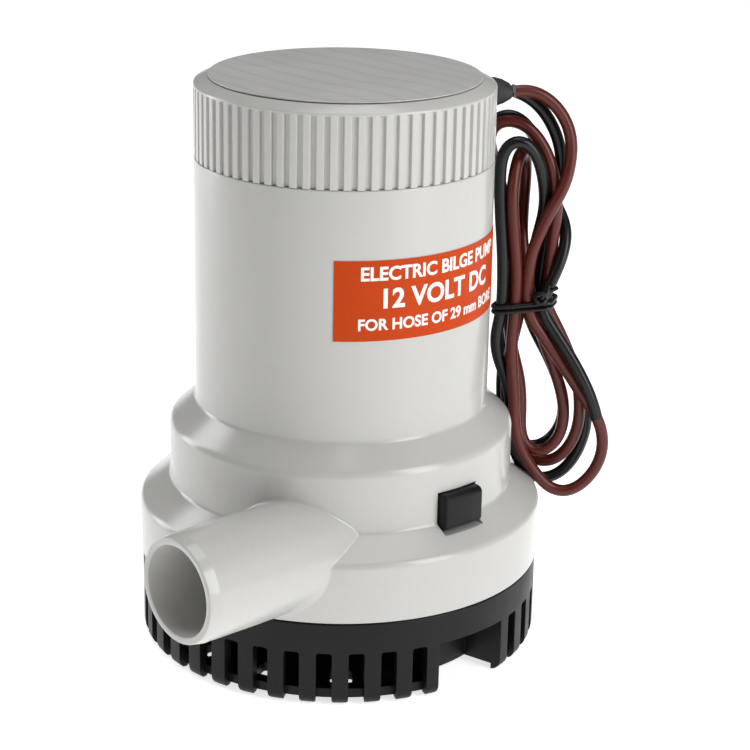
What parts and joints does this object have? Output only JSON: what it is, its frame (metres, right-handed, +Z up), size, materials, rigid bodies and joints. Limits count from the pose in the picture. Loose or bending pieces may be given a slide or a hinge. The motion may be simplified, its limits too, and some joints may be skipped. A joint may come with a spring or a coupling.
{
  "type": "submersible bilge pump",
  "caption": "Upright submersible bilge pump: white stepped housing with ribbed cap and side hose outlet, black slotted strainer base, release buttons and tied supply wires.",
  "frame": {"origin": "centre of the strainer's underside, on the floor the pump stands on", "axes": "+Z up along the motor shaft; the hose outlet points along -Y; the release buttons are on +X and -X"},
  "size_m": [0.1124, 0.1508, 0.1593],
  "materials": {
    "white_plastic": "warm grey-white ABS, satin with a soft gloss",
    "black_plastic": "black ABS, satin",
    "rubber": "black nitrile rubber",
    "steel": "stainless steel",
    "zinc_steel": "zinc-plated mild steel",
    "bronze": "sintered bronze and brass",
    "copper": "copper and enamelled copper wire",
    "ferrite": "dark ferrite magnet",
    "carbon": "carbon brush",
    "nylon": "natural nylon",
    "phenolic": "brown phenolic board",
    "ceramic": "dipped ceramic disc",
    "disc_film": "grey printed film",
    "label_film": "orange printed vinyl",
    "brown_pvc": "dark brown-red PVC sheath",
    "black_pvc": "black PVC sheath"
  },
  "bodies": {
    "strainer": {"strainer_base": "black_plastic"},
    "pump_body": {"housing": "white_plastic", "volute_cover": "black_plastic", "cover_screw_1": "steel", "cover_screw_2": "steel", "cover_screw_3": "steel", "top_cap": "white_plastic", "cap_o_ring": "rubber", "cap_disc": "disc_film", "rating_label": "label_film", "cable_gland": "rubber", "wire_brown_lead": "brown_pvc", "wire_black_lead": "black_pvc", "wire_hank": "black_pvc", "hank_tie": "black_pvc", "motor_seat": "rubber", "motor_can": "zinc_steel", "motor_end_bell": "black_plastic", "magnet_north": "ferrite", "magnet_south": "ferrite", "magnet_clip_front": "steel", "magnet_clip_back": "steel", "bearing_lower": "bronze", "bearing_upper": "bronze", "brush_card": "phenolic", "carbon_brush_front": "carbon", "carbon_brush_back": "carbon", "brush_arm_front": "copper", "brush_arm_back": "copper", "terminal_front": "bronze", "terminal_back": "bronze", "choke_front": "copper", "choke_back": "copper", "suppression_capacitor": "ceramic", "inner_wire_brown": "brown_pvc", "inner_wire_black": "black_pvc", "shaft_seal": "rubber", "seal_retainer": "steel"},
    "button_right": {"release_button_right": "black_plastic"},
    "button_left": {"release_button_left": "black_plastic"},
    "rotor": {"motor_shaft": "steel", "armature_core": "zinc_steel", "armature_windings": "copper", "commutator": "copper", "impeller": "black_plastic", "impeller_clip": "steel", "thrust_washer_lower": "nylon", "thrust_washer_upper": "nylon"}
  },
  "joints": [
    {"name": "body_lift", "type": "slide", "parent": "strainer", "child": "pump_body", "axis": [0, 0, 1], "range_m": [0, 0.06]},
    {"name": "rotor_spin", "type": "hinge", "parent": "pump_body", "child": "rotor", "pos_m": [0, 0, 0.04], "axis": [0, 0, 1], "continuous": true},
    {"name": "release_right", "type": "slide", "parent": "pump_body", "child": "button_right", "axis": [-1, 0, 0], "range_m": [0, 0.0022], "stiffness_N_per_m": 300, "springref_m": -0.01},
    {"name": "release_left", "type": "slide", "parent": "pump_body", "child": "button_left", "axis": [1, 0, 0], "range_m": [0, 0.0022], "stiffness_N_per_m": 300, "springref_m": -0.01}
  ]
}
